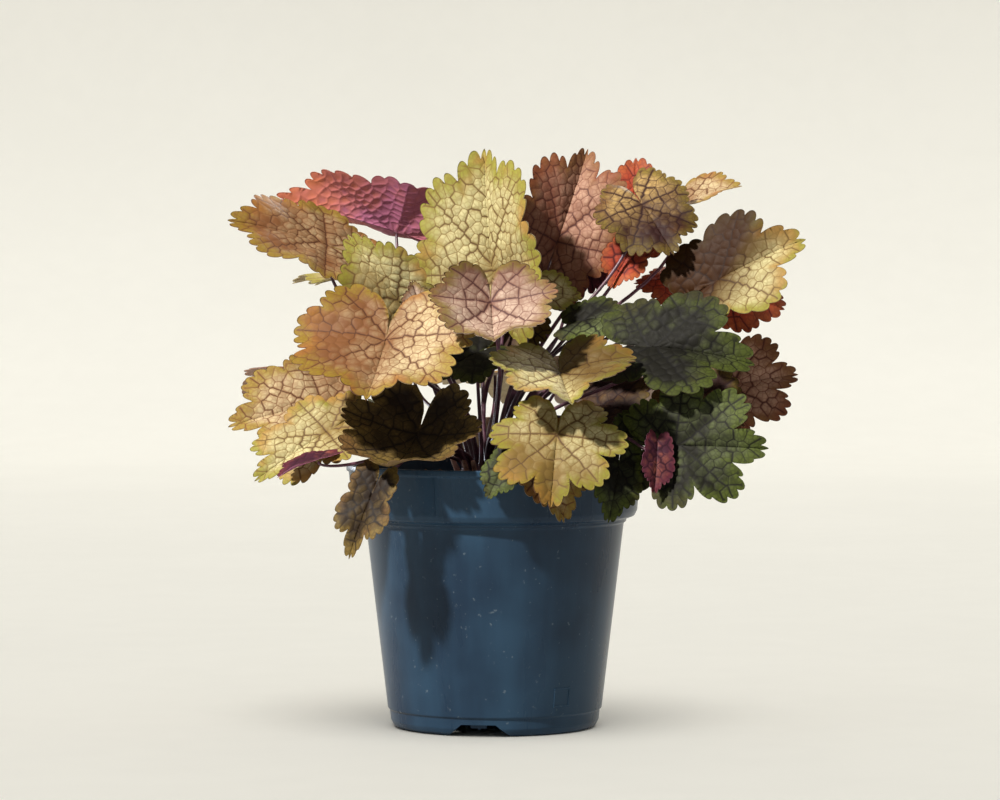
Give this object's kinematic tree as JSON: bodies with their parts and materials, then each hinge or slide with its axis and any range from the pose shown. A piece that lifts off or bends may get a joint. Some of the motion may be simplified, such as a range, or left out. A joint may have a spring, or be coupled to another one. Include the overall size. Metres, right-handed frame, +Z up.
{
  "type": "heuchera plant in a nursery pot",
  "caption": "Potted heuchera: a dome of lobed, net-veined amber, green and purple leaves on thin stalks over a dark blue round nursery pot.",
  "frame": {"origin": "middle of the pot's underside, on the surface it stands on", "axes": "+Z up along the pot's axis, -Y towards the front that the picture shows, +X to the right in the picture"},
  "size_m": [0.3261, 0.2699, 0.3312],
  "materials": {
    "pot_plastic": "satin",
    "soil_peat": "matte",
    "crown_and_stalks": "satin",
    "blade_amber": "satin",
    "blade_bronze": "satin",
    "blade_copper": "satin",
    "blade_coral": "satin",
    "blade_cream": "satin",
    "blade_dark": "satin",
    "blade_lime": "satin",
    "blade_olive": "satin",
    "blade_plum": "satin"
  },
  "bodies": {
    "root": {"pot": "pot_plastic", "soil": "soil_peat", "crown_and_stalks": "crown_and_stalks", "leaf_upper_left": "blade_amber", "leaf_top_left_under": "blade_plum", "leaf_behind_left": "blade_lime", "leaf_big_left": "blade_amber", "leaf_top_centre": "blade_lime", "leaf_top_right": "blade_copper", "leaf_right_crest": "blade_bronze", "leaf_crest_side": "blade_amber", "leaf_crest_behind": "blade_coral", "leaf_far_right": "blade_lime", "leaf_far_right_under": "blade_coral", "leaf_right_folded": "blade_coral", "leaf_right_inner_orange": "blade_coral", "leaf_right_inner_plum": "blade_plum", "leaf_centre": "blade_cream", "leaf_centre_lime": "blade_lime", "leaf_centre_brown": "blade_dark", "leaf_centre_cup": "blade_lime", "leaf_front": "blade_lime", "leaf_front_orange": "blade_amber", "leaf_rim_right": "blade_dark", "leaf_rim_small": "blade_dark", "leaf_front_left_cup": "blade_olive", "leaf_low_left_amber": "blade_amber", "leaf_low_left_green": "blade_lime", "leaf_low_left_plum": "blade_plum", "leaf_left_dark": "blade_dark", "leaf_hang_left": "blade_olive", "leaf_right_green": "blade_dark", "leaf_right_brown": "blade_copper", "leaf_low_right_green": "blade_dark", "leaf_low_right_brown": "blade_bronze", "leaf_low_right_plum": "blade_plum", "leaf_low_right_small": "blade_dark", "leaf_right_inner_dark": "blade_bronze", "leaf_inner_dark_left": "blade_dark", "leaf_inner_dark_centre": "blade_bronze", "leaf_young_left": "blade_cream", "leaf_back_centre": "blade_amber", "leaf_back_right": "blade_bronze", "leaf_back_left": "blade_lime", "leaf_back_low_left": "blade_copper", "leaf_back_low_right": "blade_dark", "leaf_back_low": "blade_amber", "leaf_back_middle_left": "blade_lime", "leaf_back_middle_right": "blade_cream", "leaf_back_hanging": "blade_olive"}
  },
  "joints": []
}
